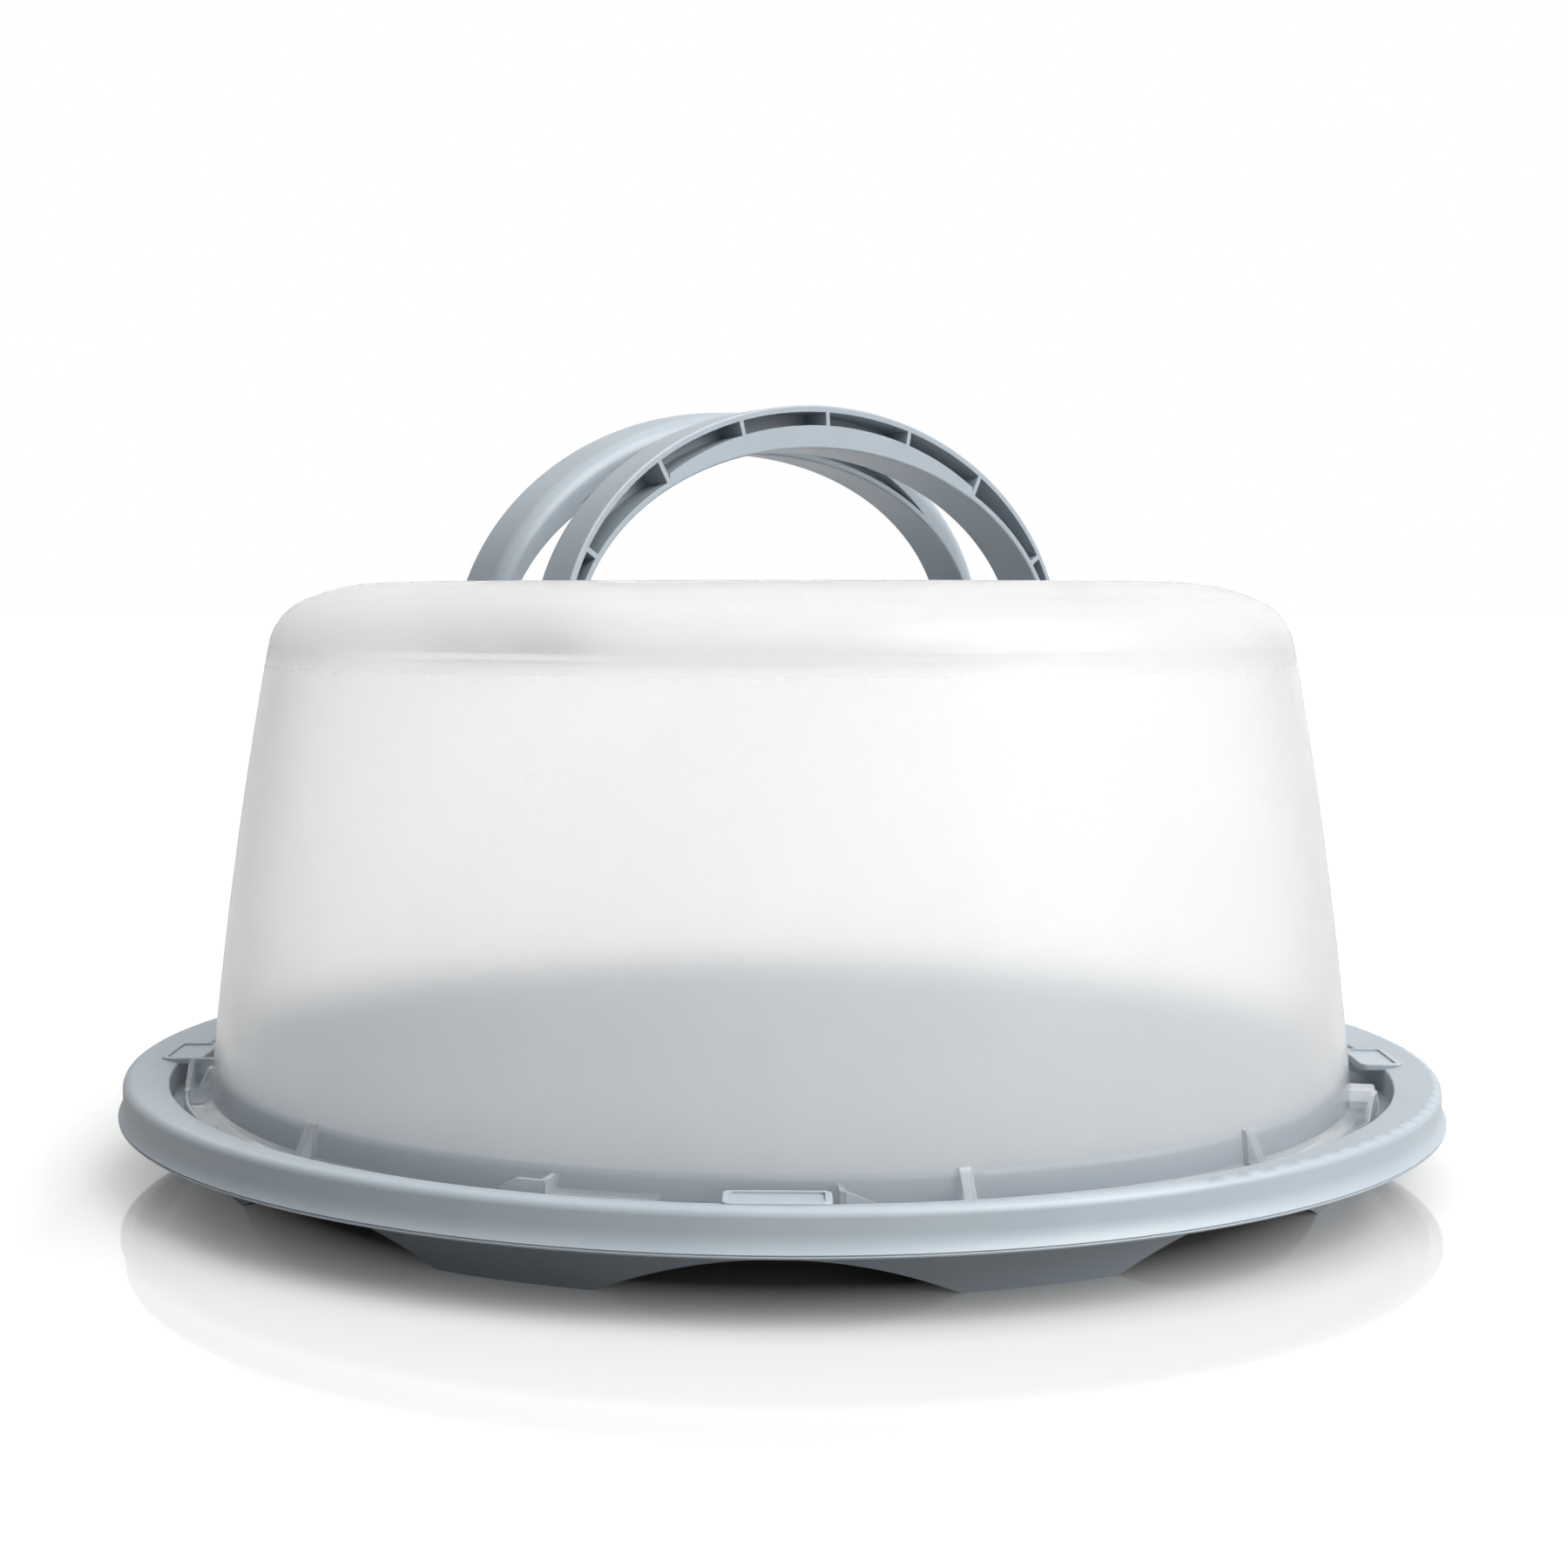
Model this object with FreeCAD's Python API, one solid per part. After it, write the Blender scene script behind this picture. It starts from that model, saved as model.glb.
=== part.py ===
import FreeCAD, Part
import math
import os

# Round cake carrier: a footed tray, a frosted dome held by four bayonet hooks, and two arch
# handles that stand up from a round well in the dome's top and fold flat into it.
# Millimetres. +Z is up, -Y is the front, the origin is the middle of the plane the feet stand on.

# Tray: rim and skirt
tray_radius = 175.0
rim_width = 13.1
rim_height = 25.2
rim_fall = 1.9
rim_edge_round = 2.2
rim_inner_round = 0.6
skirt_drop = 10.4
skirt_flare = 1.3
skirt_flare_height = 4.0
skirt_lip_step = 0.3
skirt_lip_height = 1.1
skirt_edge_round = 0.5
tray_wall = 2.2

# Tray: groove for the dome, raised plate for the cake, ring of feet
groove_width = 10.1
groove_depth = 6.8
plate_gap = 3.0
plate_rise = 9.2
plate_edge_round = 1.5
foot_inset = 1.3
foot_wall = 3.0
foot_count = 8
arch_width = 82.0
arch_height = 8.4
arch_corner_round = 8.0
arch_corner_sink = 0.05

# Tray: bayonet hooks
hook_count = 4
hook_width = 23.0
hook_reach = 6.6
hook_overlap = 4.7
hook_thickness = 1.6
hook_rise = 1.3
hook_corner_round = 2.0
hook_edge_round = 0.4
hook_border = 1.5
hook_panel_depth = 0.5
hook_panel_round = 0.8

# Dome: wall, crown and well
dome_wall = 1.8
dome_seat_gap = 0.2
wall_height = 119.6
wall_lean_in = 16.6
wall_bulge = 1.5
shoulder_round = 15.75
shoulder_end_angle = 24.0
crown_round = 54.0
well_ledge = 6.9
well_edge_round = 1.5
well_draft = 0.6

# Dome: foot flange with an upright lip, its notches for the hooks, lugs, raised horns and gussets
flange_reach = 6.6
flange_height = 3.3
flange_floor = 1.5
flange_root = 2.2
flange_lip = 1.4
notch_start_angle = -9.4
lug_height = 5.3
lug_setback = 0.8
lug_edge_round = 0.6
horn_height = 8.3
gate_horn_angle = -18.1
gate_horn_flat = 6.8
gate_horn_length = 14.7
gate_horn_bulge = 1.0
lock_horn_angle = 4.75
lock_horn_flat = 0.8
lock_horn_length = 13.0
lock_horn_bulge = 0.3
gusset_width = 2.8
gusset_height = 10.8
gusset_angles = (15.3, 45.0)

# Handles: arch, channel with ribs, slot behind the grip, lean and place
handle_count = 2
handle_turn_angle = 44.0
handle_lean_angle = 2.9
strap_width = 14.0
handle_side_gap = 4.9
arch_rise = 63.2
arch_drop = 7.0
leg_depth = 5.1
grip_depth = 11.2
handle_wall = 1.7
channel_depth = 8.4
channel_end = 6.0
grip_end_inset = 31.25
grip_floor_depth = 5.2
grip_floor_side = 7.5
rib_thickness = 1.3
rib_angles = (-66.2, -40.6, -20.0, 0.0, 20.0, 40.6, 66.2)
slot_tip_inset = 23.25
slot_depth = 4.0
slot_top_depth = 4.4
back_round_ratio = 0.84
edge_round = 0.5

# Hinges: pins, ears and the posts that the raised handles lean on
pivot_offset = 14.25
heel_clearance = 0.6
top_clearance = 3.4
pin_radius = 2.0
pin_running_gap = 0.05
pin_seat_gap = 0.02
pin_head_radius = 3.2
pin_head_thickness = 1.4
pin_end_depth = 2.6
ear_radius = 4.5
ear_thickness = 3.0
ear_gap = 2.6
boss_gap = 0.5
post_gap = 0.3
post_length = 6.0
post_rise = 7.0

# Places worked out from the sizes above
rim_inner_radius = tray_radius - rim_width
rim_inner_height = rim_height - rim_fall
groove_floor = rim_inner_height - groove_depth
dome_foot_radius = rim_inner_radius - groove_width
plate_radius = dome_foot_radius - dome_wall - plate_gap
plate_height = groove_floor + plate_rise
foot_radius = dome_foot_radius - foot_inset
hook_top = rim_inner_height + hook_rise
hook_inner_radius = rim_inner_radius - hook_reach
hook_outer_radius = rim_inner_radius + hook_overlap

dome_foot = groove_floor + dome_seat_gap
flange_radius = dome_foot_radius + flange_reach
flange_top = dome_foot + flange_height
flange_shelf = dome_foot + flange_floor
lip_inner_radius = flange_radius - flange_lip
wall_middle_radius = dome_foot_radius - dome_wall / 2.0
wall_top = dome_foot + wall_height
wall_top_radius = dome_foot_radius - wall_lean_in
wall_middle = ((dome_foot_radius + wall_top_radius) / 2.0 + wall_bulge, (dome_foot + wall_top) / 2.0)
lower_lean = math.atan2(dome_foot_radius - wall_middle[0], wall_middle[1] - dome_foot)
upper_lean = math.atan2(wall_middle[0] - wall_top_radius, wall_top - wall_middle[1])
wall_end_lean = math.atan2(wall_lean_in, wall_height) + upper_lean - lower_lean
end_turn = math.radians(shoulder_end_angle)
shoulder_centre = (wall_top_radius - shoulder_round * math.cos(wall_end_lean),
                   wall_top - shoulder_round * math.sin(wall_end_lean))
crown_centre = (shoulder_centre[0] - (crown_round - shoulder_round) * math.sin(end_turn),
                shoulder_centre[1] - (crown_round - shoulder_round) * math.cos(end_turn))
crown_radius = crown_centre[0]
crown_top = crown_centre[1] + crown_round
well_radius = crown_radius - well_ledge

pivot_height = crown_top - top_clearance - strap_width / 2.0
well_floor = pivot_height - strap_width / 2.0 - heel_clearance
arch_side = well_radius - handle_side_gap
inner_side = arch_side - leg_depth
inner_rise = arch_rise - grip_depth
grip_half_length = inner_side - grip_end_inset
slot_half_length = inner_side - slot_tip_inset
boss_face = arch_side + boss_gap
ear_face = inner_side - ear_gap
lean_slope = math.tan(math.radians(handle_lean_angle))

UP = FreeCAD.Vector(0, 0, 1)
ORIGIN = FreeCAD.Vector(0, 0, 0)
ALONG_X = FreeCAD.Vector(1, 0, 0)
ALONG_Y = FreeCAD.Vector(0, 1, 0)
OVERCUT = 1.0
SEAM_ANGLE = 31.0
SAME_PLACE = 0.01


def section_point(point):
    """A point of a section drawn in the X-Z plane."""
    return FreeCAD.Vector(point[0], 0, point[1])


def section(start, *steps):
    """Closed face in X-Z: a step is a point for a line, or (via, end) for an arc."""
    edges = []
    here = start
    for step in steps + (start,):
        if isinstance(step[0], tuple):
            via, end = step
            edges.append(Part.Arc(section_point(here), section_point(via), section_point(end)).toShape())
            here = end
        elif step != here:
            edges.append(Part.LineSegment(section_point(here), section_point(step)).toShape())
            here = step
    return Part.Face(Part.Wire(edges))


def swing(centre, radius, degrees):
    """Point of a circle in a section, counted from +X towards +Z."""
    turn = math.radians(degrees)
    return (centre[0] + radius * math.cos(turn), centre[1] + radius * math.sin(turn))


def corner_arc(centre, radius, first, last):
    """Arc step round a centre: its middle point and its end point."""
    return (swing(centre, radius, (first + last) / 2.0), swing(centre, radius, last))


def revolved(face):
    """Full turn of a section about the Z axis, with its seam clear of hooks, feet and gussets."""
    return turned(face.revolve(ORIGIN, UP, 360), SEAM_ANGLE)


def turned(shape, degrees):
    """Copy of a shape turned about the Z axis, counted from the front towards +X."""
    copy = shape.copy()
    copy.rotate(ORIGIN, UP, degrees)
    return copy


def around(shape, count, offset=0.0):
    """Copies of a shape spread evenly about the Z axis."""
    return [turned(shape, offset + step * 360.0 / count) for step in range(count)]


def block(low, high):
    """Box between two corners."""
    size = [high[axis] - low[axis] for axis in range(3)]
    return Part.makeBox(size[0], size[1], size[2], FreeCAD.Vector(*low))


def rod(radius, start, end):
    """Round bar along X from one X to another, on the hinge axis of the front handle."""
    base = FreeCAD.Vector(start, -pivot_offset, pivot_height)
    return Part.makeCylinder(radius, end - start, base, ALONG_X)


def both_sides(shape):
    """A shape and its mirror image across the Y-Z plane."""
    return [shape, shape.mirror(ORIGIN, ALONG_X)]


def tray_shell():
    """Plate, groove, rim, skirt and foot ring as one turned section."""
    band_radius = tray_radius - skirt_flare
    skirt_foot = rim_height - skirt_drop
    lip_radius = tray_radius - skirt_lip_step
    lip_top = skirt_foot + skirt_lip_height
    flare_radius = (skirt_flare_height ** 2 + skirt_flare ** 2) / (2.0 * skirt_flare)
    flare_centre = (band_radius + flare_radius, lip_top + skirt_flare_height)
    flare_angle = math.degrees(math.asin(skirt_flare_height / flare_radius))
    rim_corner = (band_radius - rim_edge_round, rim_height - rim_edge_round)
    inner_corner = (rim_inner_radius + rim_inner_round, rim_inner_height - rim_inner_round)
    rim_run = rim_corner[0] - inner_corner[0]
    rim_climb = rim_corner[1] - inner_corner[1]
    rim_slope = math.atan2(rim_climb, rim_run)
    rim_slope += math.asin((rim_edge_round - rim_inner_round) / math.hypot(rim_run, rim_climb))
    rim_angle = 90.0 + math.degrees(rim_slope)
    lip_corner = (lip_radius - skirt_edge_round, skirt_foot + skirt_edge_round)
    plate_corner = (plate_radius - plate_edge_round, plate_height - plate_edge_round)
    under_groove = groove_floor - tray_wall
    under_rim = rim_inner_height - tray_wall
    skirt_inside = band_radius - tray_wall
    return revolved(section(
        (0.0, plate_height),
        (plate_corner[0], plate_height),
        corner_arc(plate_corner, plate_edge_round, 90, 0),
        (plate_radius, groove_floor),
        (rim_inner_radius, groove_floor),
        (rim_inner_radius, inner_corner[1]),
        corner_arc(inner_corner, rim_inner_round, 180, rim_angle),
        swing(rim_corner, rim_edge_round, rim_angle),
        corner_arc(rim_corner, rim_edge_round, rim_angle, 0),
        (band_radius, flare_centre[1]),
        corner_arc(flare_centre, flare_radius, 180, 180 + flare_angle),
        (lip_radius, lip_top),
        (lip_radius, lip_corner[1]),
        corner_arc(lip_corner, skirt_edge_round, 0, -90),
        (skirt_inside, skirt_foot),
        (skirt_inside, rim_height - 2.0 * tray_wall),
        (rim_inner_radius + tray_wall, under_rim),
        (rim_inner_radius + tray_wall, under_groove),
        (foot_radius, under_groove),
        (foot_radius, 0.0),
        (foot_radius - foot_wall, 0.0),
        (foot_radius - foot_wall, under_groove),
        (plate_radius - tray_wall, under_groove),
        (plate_radius - tray_wall, plate_height - tray_wall),
        (0.0, plate_height - tray_wall),
    ))


def foot_arch():
    """Cutter that opens the foot ring between two feet, at the front: an arc with rounded corners."""
    half = arch_width / 2.0
    corner = (half, arch_corner_round - arch_corner_sink)
    left_corner = (-half, corner[1])
    fall = corner[1] - arch_height
    radius = (half ** 2 + fall ** 2 - arch_corner_round ** 2) / (2.0 * (arch_corner_round - fall))
    centre = (0.0, arch_height - radius)
    meeting = math.degrees(math.atan2(corner[1] - centre[1], corner[0]))
    face = section(
        (half, -OVERCUT),
        (half, -arch_corner_sink),
        corner_arc(corner, arch_corner_round, 270, 180 + meeting),
        corner_arc(centre, radius, meeting, 180 - meeting),
        corner_arc(left_corner, arch_corner_round, -meeting, -90),
        (-half, -OVERCUT),
    )
    ring_inside = math.sqrt((foot_radius - foot_wall) ** 2 - half ** 2)
    cutter = face.extrude(FreeCAD.Vector(0, foot_radius - ring_inside + 2.0 * OVERCUT, 0))
    cutter.translate(FreeCAD.Vector(0, -foot_radius - OVERCUT, 0))
    return cutter


def rounded_plate(low, high, corner_round):
    """Box between two corners with its upright edges rounded."""
    plate = block(low, high)
    corners = [edge for edge in plate.Edges if abs(edge.tangentAt(edge.FirstParameter).z) > 0.9]
    return plate.makeFillet(corner_round, corners)


def hook():
    """Plate that bridges the groove from the rim, with a panel let into its top."""
    half = hook_width / 2.0
    under = hook_top - hook_thickness
    low = (-half, -hook_outer_radius, under)
    plate = rounded_plate(low, (half, -hook_inner_radius, hook_top), hook_corner_round)
    plate = plate.makeFillet(hook_edge_round, [edge for edge in plate.Edges if edge.BoundBox.ZMin > under])
    panel_low = (-half + hook_border, -hook_outer_radius + hook_border, hook_top - hook_panel_depth)
    panel_high = (half - hook_border, -hook_inner_radius - hook_border, hook_top + OVERCUT)
    return plate.cut(rounded_plate(panel_low, panel_high, hook_panel_round))


def base_tray():
    """The whole moulded tray."""
    tray = tray_shell()
    for cutter in around(foot_arch(), foot_count):
        tray = tray.cut(cutter)
    return tray.multiFuse(around(hook(), hook_count)).removeSplitter()


def dome_shell():
    """Wall, crown, well wall and well floor as one turned band of even thickness."""
    inside_shoulder = shoulder_round - dome_wall
    inside_crown = crown_round - dome_wall
    bend = 90.0 - shoulder_end_angle
    shoulder_edge = math.degrees(wall_end_lean)
    brim = (well_radius + well_edge_round, crown_top - well_edge_round)
    return revolved(section(
        (dome_foot_radius, dome_foot),
        (wall_middle, (wall_top_radius, wall_top)),
        corner_arc(shoulder_centre, shoulder_round, shoulder_edge, bend),
        corner_arc(crown_centre, crown_round, bend, 90),
        (brim[0], crown_top),
        corner_arc(brim, well_edge_round, 90, 180),
        (well_radius - well_draft, well_floor),
        (0.0, well_floor),
        (0.0, well_floor - dome_wall),
        (well_radius - well_draft + dome_wall, well_floor - dome_wall),
        (well_radius + dome_wall, crown_top - dome_wall),
        (crown_radius, crown_top - dome_wall),
        corner_arc(crown_centre, inside_crown, 90, bend),
        corner_arc(shoulder_centre, inside_shoulder, bend, shoulder_edge),
        (wall_top_radius - dome_wall, wall_top - dome_wall),
        ((wall_middle[0] - dome_wall, wall_middle[1]), (dome_foot_radius - dome_wall, dome_foot)),
    ))


def flange_ring():
    """Foot flange of the dome with a round-topped lip along its edge, before the notches."""
    lip_centre = (flange_radius - flange_lip / 2.0, flange_top - flange_lip / 2.0)
    root_middle = (dome_foot_radius + flange_root / 3.0, flange_shelf + flange_root / 3.0)
    return revolved(section(
        (wall_middle_radius, dome_foot),
        (flange_radius, dome_foot),
        (flange_radius, lip_centre[1]),
        corner_arc(lip_centre, flange_lip / 2.0, 0, 180),
        (lip_inner_radius, flange_shelf),
        (dome_foot_radius + flange_root, flange_shelf),
        (root_middle, (wall_middle_radius, flange_shelf + 1.5 * flange_root)),
    ))


def lug():
    """Solid part of the flange between the gate horn and the notch, that turns in under the hook."""
    reach = flange_radius - lug_setback
    top = dome_foot + lug_height
    corner = (reach - lug_edge_round, top - lug_edge_round)
    face = section(
        (wall_middle_radius, dome_foot),
        (reach, dome_foot),
        (reach, corner[1]),
        corner_arc(corner, lug_edge_round, 0, 90),
        (wall_middle_radius, top),
    )
    bar = face.revolve(ORIGIN, UP, notch_start_angle - gate_horn_angle)
    return turned(bar, gate_horn_angle - 90.0)


def gusset():
    """Web on the flange that props the wall up, at the front."""
    root = wall_middle_radius - dome_wall / 4.0
    face = section(
        (root, dome_foot),
        (lip_inner_radius, dome_foot),
        (lip_inner_radius, flange_top - flange_lip),
        (dome_foot_radius, dome_foot + gusset_height),
        (root, dome_foot + gusset_height),
    )
    web = face.extrude(FreeCAD.Vector(0, gusset_width, 0))
    web.translate(FreeCAD.Vector(0, -gusset_width / 2.0, 0))
    return turned(web, -90.0)


def notch():
    """Cutter of one notch in the flange, from the low flange to the lock horn, round the front hook."""
    start = math.radians(notch_start_angle)
    end = math.radians(lock_horn_angle)
    reach = flange_radius + 4.0 * OVERCUT
    corners = [ORIGIN]
    for turn in (start, end):
        corners.append(FreeCAD.Vector(reach * math.sin(turn), -reach * math.cos(turn), 0))
    wedge = Part.Face(Part.makePolygon(corners + [ORIGIN])).extrude(UP * horn_height)
    wedge.translate(UP * dome_foot)
    keep = Part.makeCylinder(dome_foot_radius, horn_height, UP * dome_foot)
    return wedge.cut(keep)


def horn(flat_length, length, bulge):
    """Raised lip of the flange with an end wall that looks to -X, at the front: it falls to +X."""
    top = dome_foot + horn_height
    low = flange_top - flange_lip / 2.0
    middle = ((flat_length + length) / 2.0, (top + low) / 2.0 + bulge)
    face = section(
        (0.0, dome_foot),
        (0.0, top),
        (flat_length, top),
        (middle, (length, low)),
        (length, dome_foot),
    )
    bar = face.extrude(FreeCAD.Vector(0, 2.0 * flange_reach, 0))
    bar.translate(FreeCAD.Vector(0, -flange_radius - OVERCUT, 0))
    outer = Part.makeCylinder(flange_radius, horn_height, UP * dome_foot)
    bar = bar.common(outer).cut(Part.makeCylinder(wall_middle_radius, horn_height, UP * dome_foot))
    pocket = Part.makeCylinder(lip_inner_radius, horn_height, UP * dome_foot)
    end_wall = block((-OVERCUT, -flange_radius, 0.0), (flange_lip, 0.0, top + OVERCUT))
    return bar.cut(pocket.cut(end_wall))


def ear():
    """Inner hinge ear of the front handle, on the +X side."""
    root = well_floor - dome_wall / 2.0
    foot = block((ear_face - ear_thickness, -pivot_offset - ear_radius, root),
                 (ear_face, -pivot_offset + ear_radius, pivot_height))
    return foot.fuse(rod(ear_radius, ear_face - ear_thickness, ear_face))


def boss():
    """Hinge boss between the front handle's leg and the well's wall, on the +X side."""
    root = well_floor - dome_wall / 2.0
    reach = well_radius + dome_wall / 2.0
    foot = block((boss_face, -pivot_offset - ear_radius, root),
                 (reach, -pivot_offset + ear_radius, pivot_height))
    whole = foot.fuse(rod(ear_radius, boss_face, reach))
    well = Part.makeCylinder(reach - well_draft, crown_top - root, FreeCAD.Vector(0, 0, root))
    return whole.common(well)


def stop_post():
    """Post between the two handles' heels that the raised handles lean against, on the +X side."""
    root = well_floor - dome_wall / 2.0
    top = pivot_height + post_rise
    at_pivot = pivot_offset - strap_width / 2.0 - post_gap
    low_half = at_pivot + (pivot_height - root) * lean_slope
    top_half = at_pivot - post_rise * lean_slope
    face = section((-low_half, root), (low_half, root), (top_half, top), (-top_half, top))
    post = face.extrude(FreeCAD.Vector(0, post_length, 0))
    post.rotate(ORIGIN, UP, -90)
    post.translate(FreeCAD.Vector(arch_side - post_length, 0, 0))
    return post


def dome_cover():
    """The whole moulded dome, with foot flange, lugs, horns, gussets, ears, bosses and posts."""
    dome = dome_shell()
    flange = flange_ring()
    for cutter in around(notch(), hook_count):
        flange = flange.cut(cutter)
    gate_horn = horn(gate_horn_flat, gate_horn_length, gate_horn_bulge).mirror(ORIGIN, ALONG_X)
    lock_horn = horn(lock_horn_flat, lock_horn_length, lock_horn_bulge)
    additions = [flange] + around(lug(), hook_count)
    for degrees in gusset_angles:
        additions += around(gusset(), hook_count, degrees)
    additions += around(turned(gate_horn, gate_horn_angle), hook_count)
    additions += around(turned(lock_horn, lock_horn_angle), hook_count)
    for piece in both_sides(ear()) + both_sides(boss()):
        additions += around(piece, handle_count, handle_turn_angle)
    for piece in both_sides(stop_post()):
        additions.append(turned(piece, handle_turn_angle))
    dome = dome.multiFuse(additions)
    hole = rod(pin_radius + pin_seat_gap, ear_face - ear_thickness - OVERCUT, boss_face + pin_end_depth)
    for side_hole in both_sides(hole):
        for placed in around(side_hole, handle_count, handle_turn_angle):
            dome = dome.cut(placed)
    return dome.removeSplitter()


def arch_face(side, rise):
    """Half ellipse standing on straight legs, as a face in X-Z about the arch's centre."""
    leg = 2.0 * strap_width
    if side >= rise:
        ellipse = Part.Ellipse(ORIGIN, side, rise)
        ellipse.Axis = FreeCAD.Vector(0, -1, 0)
        ellipse.XAxis = ALONG_X
        crown = Part.ArcOfEllipse(ellipse, 0.0, math.pi).toShape()
    else:
        ellipse = Part.Ellipse(ORIGIN, rise, side)
        ellipse.Axis = FreeCAD.Vector(0, -1, 0)
        ellipse.XAxis = UP
        crown = Part.ArcOfEllipse(ellipse, -math.pi / 2.0, math.pi / 2.0).toShape()
    corners = [(side, 0.0), (side, -leg), (-side, -leg), (-side, 0.0)]
    points = [section_point(corner) for corner in corners]
    legs = [Part.LineSegment(points[step], points[step + 1]).toShape() for step in range(3)]
    return Part.Face(Part.Wire(Part.__sortEdges__([crown] + legs)))


def arch_band(outer, inner, start, end):
    """Solid between two arch outlines, from one Y to another."""
    depth = FreeCAD.Vector(0, end - start, 0)
    band = arch_face(*outer).extrude(depth).cut(arch_face(*inner).extrude(depth))
    band.translate(FreeCAD.Vector(0, start, 0))
    return band


def long_edges(band, depth, outside):
    """Edges that follow the arch at one Y, along its outer or its inner outline."""
    found = []
    for edge in band.Edges:
        box = edge.BoundBox
        along = box.ZLength > strap_width and abs(box.YMin - depth) + abs(box.YMax - depth) < SAME_PLACE
        reach = max(box.XMax, -box.XMin)
        if along and (reach > inner_side + leg_depth / 2.0) == outside:
            found.append(edge)
    return found


def rounded_band():
    """Plain strap of the arch: well rounded along the outer back edge, eased along the others."""
    band = arch_band((arch_side, arch_rise), (inner_side, inner_rise), 0.0, strap_width)
    band = band.makeFillet(back_round_ratio * leg_depth, long_edges(band, strap_width, True))
    band = band.makeFillet(edge_round, long_edges(band, strap_width, False))
    return band.makeFillet(edge_round, long_edges(band, 0.0, True) + long_edges(band, 0.0, False))


def handle_rib(degrees):
    """Thin web across the channel, square to the arch at an angle of the ellipse."""
    turn = math.radians(degrees)
    foot = FreeCAD.Vector(arch_side * math.sin(turn), 0, arch_rise * math.cos(turn))
    lean = math.degrees(math.atan2(math.sin(turn) / arch_side, math.cos(turn) / arch_rise))
    half = rib_thickness / 2.0
    rib = block((-half, 0.0, -2.0 * grip_depth), (half, strap_width, grip_depth))
    rib.rotate(ORIGIN, ALONG_Y, lean)
    rib.translate(foot)
    return rib


def handle_channel():
    """Space of the channel: shallow over the grip, deeper down both legs, split by the ribs."""
    roof = (arch_side - handle_wall, arch_rise - handle_wall)
    leg_floor = (inner_side + handle_wall, inner_rise + handle_wall)
    grip_floor = (arch_side - grip_floor_side, arch_rise - grip_floor_depth)
    sky = 2.0 * arch_rise
    grip_zone = block((-grip_half_length, -OVERCUT, 0.0), (grip_half_length, channel_depth, sky))
    leg_end = arch_drop + channel_end
    leg_zone = block((-arch_side, -OVERCUT, leg_end), (arch_side, channel_depth, sky)).cut(grip_zone)
    legs = arch_band(roof, leg_floor, -OVERCUT, channel_depth).common(leg_zone)
    grip = arch_band(roof, grip_floor, -OVERCUT, channel_depth).common(grip_zone)
    space = legs.fuse(grip)
    for degrees in rib_angles:
        space = space.cut(handle_rib(degrees))
    return space


def grip_slot():
    """Crescent slot let into the closed back of the grip, with a point at each end."""
    floor = (inner_side + handle_wall, inner_rise + handle_wall)
    top_rise = arch_rise - slot_top_depth
    tip_rise = floor[1] * math.sqrt(1.0 - (slot_half_length / floor[0]) ** 2)
    top_side = slot_half_length / math.sqrt(1.0 - (tip_rise / top_rise) ** 2)
    return arch_band((top_side, top_rise), floor, strap_width - slot_depth, strap_width + OVERCUT)


def front_handle():
    """Arch handle at the front: legs round its heels, bored for the pins, leaning in and turned."""
    middle = strap_width / 2.0
    heel_start = FreeCAD.Vector(-arch_side, middle, arch_drop)
    heels = Part.makeCylinder(middle, 2.0 * arch_side, heel_start, ALONG_X)
    above = block((-arch_side, 0.0, arch_drop), (arch_side, strap_width, 2.0 * arch_rise))
    handle = rounded_band().common(above.fuse(heels))
    handle = handle.cut(handle_channel()).cut(grip_slot())
    bore_start = FreeCAD.Vector(-arch_side - OVERCUT, middle, arch_drop)
    bore = Part.makeCylinder(pin_radius + pin_running_gap, 2.0 * (arch_side + OVERCUT), bore_start, ALONG_X)
    handle = handle.cut(bore)
    handle.translate(FreeCAD.Vector(0, -middle, -arch_drop))
    handle.rotate(ORIGIN, ALONG_X, -handle_lean_angle)
    handle.translate(FreeCAD.Vector(0, -pivot_offset, pivot_height))
    return turned(handle, handle_turn_angle)


def hinge_pin():
    """Headed pin of the front handle's hinge on the +X side, before the handles' turn."""
    head_face = ear_face - ear_thickness
    shank = rod(pin_radius, head_face - pin_head_thickness, boss_face + pin_end_depth - pin_running_gap)
    head = rod(pin_head_radius, head_face - pin_head_thickness, head_face)
    return shank.fuse(head).removeSplitter()


def build():
    """All pieces by node name."""
    handle = front_handle()
    right_pin, left_pin = both_sides(hinge_pin())
    return {
        "base_tray": base_tray(),
        "dome_cover": dome_cover(),
        "front_handle": handle,
        "rear_handle": turned(handle, 180.0),
        "front_handle_right_pin": turned(right_pin, handle_turn_angle),
        "front_handle_left_pin": turned(left_pin, handle_turn_angle),
        "rear_handle_right_pin": turned(left_pin, handle_turn_angle + 180.0),
        "rear_handle_left_pin": turned(right_pin, handle_turn_angle + 180.0),
    }


os.makedirs("parts", exist_ok=True)
for name, shape in build().items():
    shape.exportStep(os.path.join("parts", name + ".step"))
    print(name, len(shape.Solids), shape.isValid(), round(shape.Volume / 1000.0, 2), shape.BoundBox)
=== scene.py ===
"""Studio scene of a round cake carrier: a footed tray, a frosted dome and two folding arch handles."""

import logging
import math
from dataclasses import dataclass
from enum import Enum

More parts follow.
